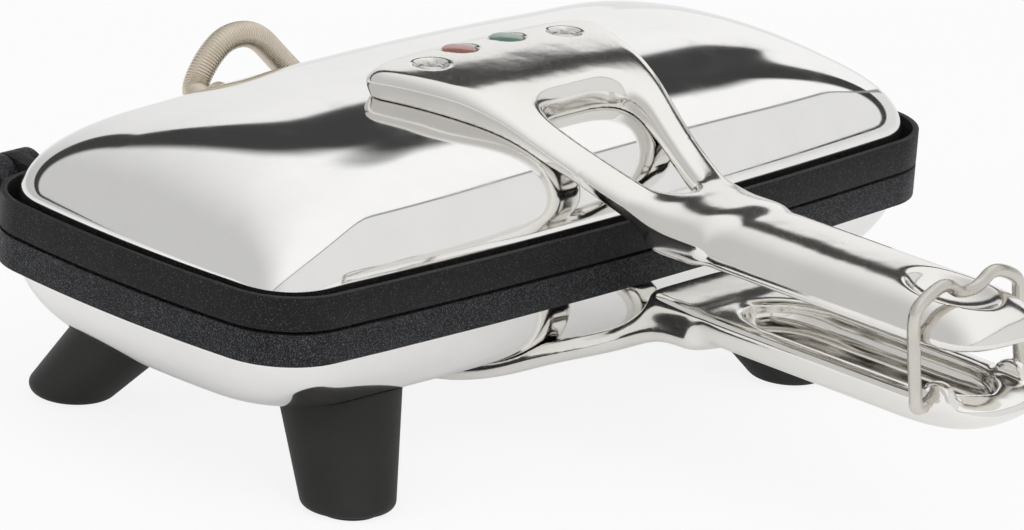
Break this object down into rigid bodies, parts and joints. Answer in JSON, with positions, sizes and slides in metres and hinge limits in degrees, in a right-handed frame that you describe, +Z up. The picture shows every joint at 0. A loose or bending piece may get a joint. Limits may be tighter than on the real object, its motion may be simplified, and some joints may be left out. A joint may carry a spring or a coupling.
{
  "type": "sandwich maker",
  "caption": "Closed electric sandwich maker with polished shells, black non-stick plates with triangular wells, two long handles, a bail latch and splayed feet.",
  "frame": {"origin": "on the surface it stands on, under the middle of the bounding box, in metres", "axes": "+X to the right along the plates' long side as seen from the handles, +Y from the handles back to the hinges, +Z up"},
  "size_m": [0.289, 0.2956, 0.111],
  "materials": {
    "coated_plate": "black non-stick coating with a fine sparkle over cast aluminium",
    "polished_shell": "mirror-polished pressed sheet",
    "polished_casting": "polished, softly rippled die casting",
    "black_foot": "satin black heat-proof moulding",
    "foot_rubber": "matt grey-black",
    "screw_steel": "plated steel",
    "red_lens": "pale red translucent plastic",
    "green_lens": "pale green translucent plastic",
    "cream_holder": "matt moulding",
    "lamp_glass": "clear glass",
    "element_steel": "dull heat-darkened steel",
    "reflector_aluminium": "plain mill sheet",
    "thermostat_steel": "plated steel",
    "white_block": "matt off-white moulding",
    "terminal_brass": "plain brass",
    "black_bush": "matt black moulding",
    "conduit_steel": "warm nickel-plated ribbed steel",
    "wire_nickel": "satin nickel-plated wire"
  },
  "bodies": {
    "base": {"lower_plate": "coated_plate", "hinge_pin_left": "screw_steel", "hinge_pin_right": "screw_steel", "base_shell": "polished_shell", "foot_front_left": "black_foot", "foot_rear_left": "black_foot", "foot_front_right": "black_foot", "foot_rear_right": "black_foot", "foot_pads": "foot_rubber", "foot_screws": "screw_steel", "lower_handle": "polished_casting", "lower_handle_screws": "screw_steel", "base_shell_screws": "screw_steel", "lower_element": "element_steel", "lower_element_clips": "element_steel", "lower_reflector": "reflector_aluminium", "thermostat": "thermostat_steel", "thermal_fuse": "thermostat_steel", "terminal_block": "white_block", "terminal_screws": "terminal_brass", "cord_clamp": "white_block", "cord_inlet": "black_bush", "conduit_bush_base": "conduit_steel", "conduit": "conduit_steel"},
    "lid": {"upper_plate": "coated_plate", "lid_shell": "polished_shell", "upper_handle": "polished_casting", "upper_handle_screws": "screw_steel", "heating_lens": "red_lens", "ready_lens": "green_lens", "lamp_holder": "cream_holder", "neon_lamps": "lamp_glass", "upper_element": "element_steel", "upper_element_clips": "element_steel", "upper_reflector": "reflector_aluminium", "conduit_bush_lid": "conduit_steel"},
    "latch": {"latch_wire": "wire_nickel"}
  },
  "joints": [
    {"name": "lid_hinge", "type": "hinge", "parent": "base", "child": "lid", "pos_m": [0, 0.1402, 0.068], "axis": [-1, 0, 0], "range_deg": [0, 100], "deforming": ["conduit"]},
    {"name": "latch_pivot", "type": "hinge", "parent": "base", "child": "latch", "pos_m": [0, -0.1308, 0.0585], "axis": [1, 0, 0], "range_deg": [0, 150]}
  ]
}
